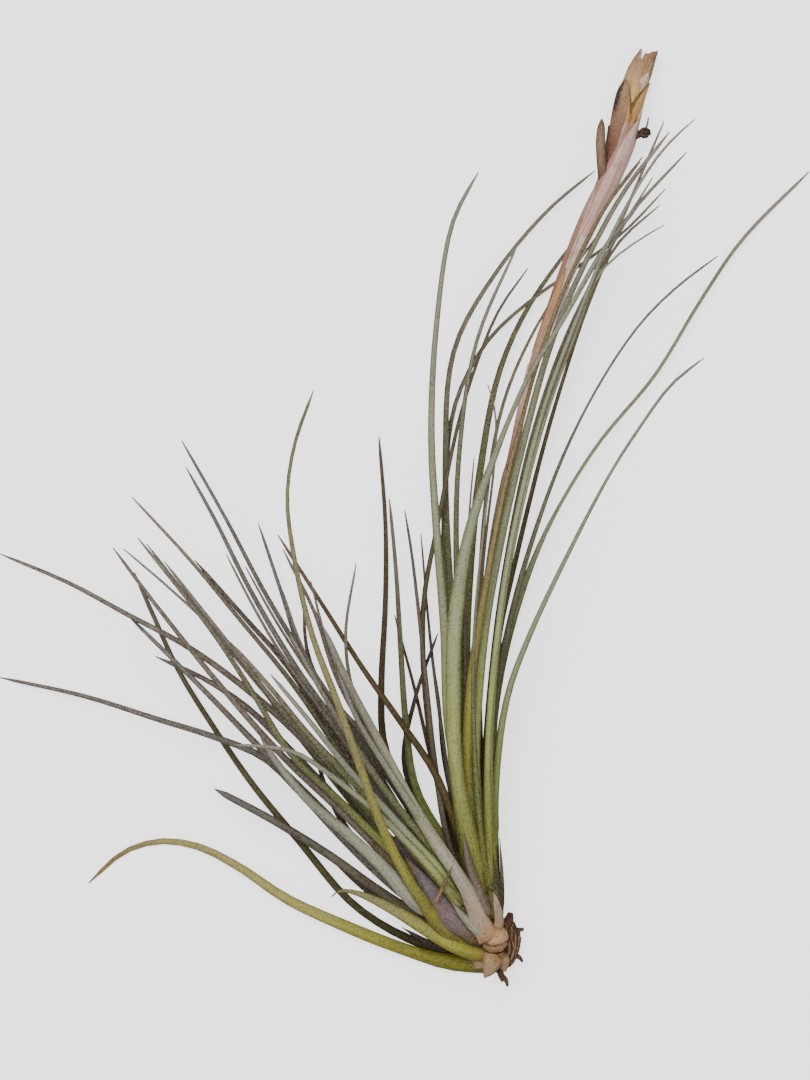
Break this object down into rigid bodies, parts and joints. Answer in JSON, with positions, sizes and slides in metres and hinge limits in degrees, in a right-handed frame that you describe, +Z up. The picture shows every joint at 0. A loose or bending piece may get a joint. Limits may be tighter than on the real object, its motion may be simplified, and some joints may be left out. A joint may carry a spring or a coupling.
{
  "type": "air plant",
  "caption": "Rush-leaved air plant laid on its side: a tall leaf rosette with a spent pink flower stem, a leaning offset rosette, old leaves and a dead woody stub.",
  "frame": {"origin": "middle of the small flat spot under the woody stub, on the surface that the plant lies on", "axes": "+Z up from the surface, +Y along the plant from the stub to the flower head, +X to the right as seen from above with the head at the top"},
  "size_m": [0.2702, 0.3123, 0.0584],
  "materials": {
    "leaf_green": "matte",
    "leaf_grey": "matte",
    "leaf_brown": "matte",
    "leaf_dark": "matte",
    "leaf_old": "matte",
    "stem_pink": "matte",
    "dry_tan": "matte",
    "dry_brown": "matte",
    "knuckle_tan": "matte",
    "dead_wood": "matte"
  },
  "bodies": {
    "root": {"stem_base": "knuckle_tan", "old_leaf_short": "leaf_old", "old_leaf_upright": "leaf_old", "flower_stem": "stem_pink", "flower_head": "dry_tan", "leafy_bract": "dry_brown", "dried_flower": "dead_wood", "offset_rosette": "leaf_grey", "parent_rosette": "leaf_green", "upright_scale_1": "dry_tan", "upright_scale_2": "dry_tan", "upright_scale_3": "leaf_dark", "parent_dry_leaf_1": "leaf_brown", "parent_dry_leaf_2": "leaf_brown", "parent_dry_leaf_3": "leaf_brown", "parent_dry_leaf_4": "leaf_brown", "parent_dry_leaf_5": "leaf_brown", "parent_dry_leaf_6": "leaf_brown", "parent_dry_leaf_7": "leaf_brown", "parent_dry_leaf_8": "leaf_brown", "parent_dry_leaf_9": "leaf_brown", "offset_dry_leaf_1": "leaf_dark", "offset_dry_leaf_2": "leaf_dark", "offset_dry_leaf_3": "leaf_dark", "old_leaf_dark": "leaf_dark", "old_leaf_long": "leaf_old", "base_scale_1": "dry_tan", "base_scale_2": "dry_tan", "base_scale_3": "dry_tan", "woody_stub": "dead_wood", "dry_strip": "dry_tan"}
  },
  "joints": []
}
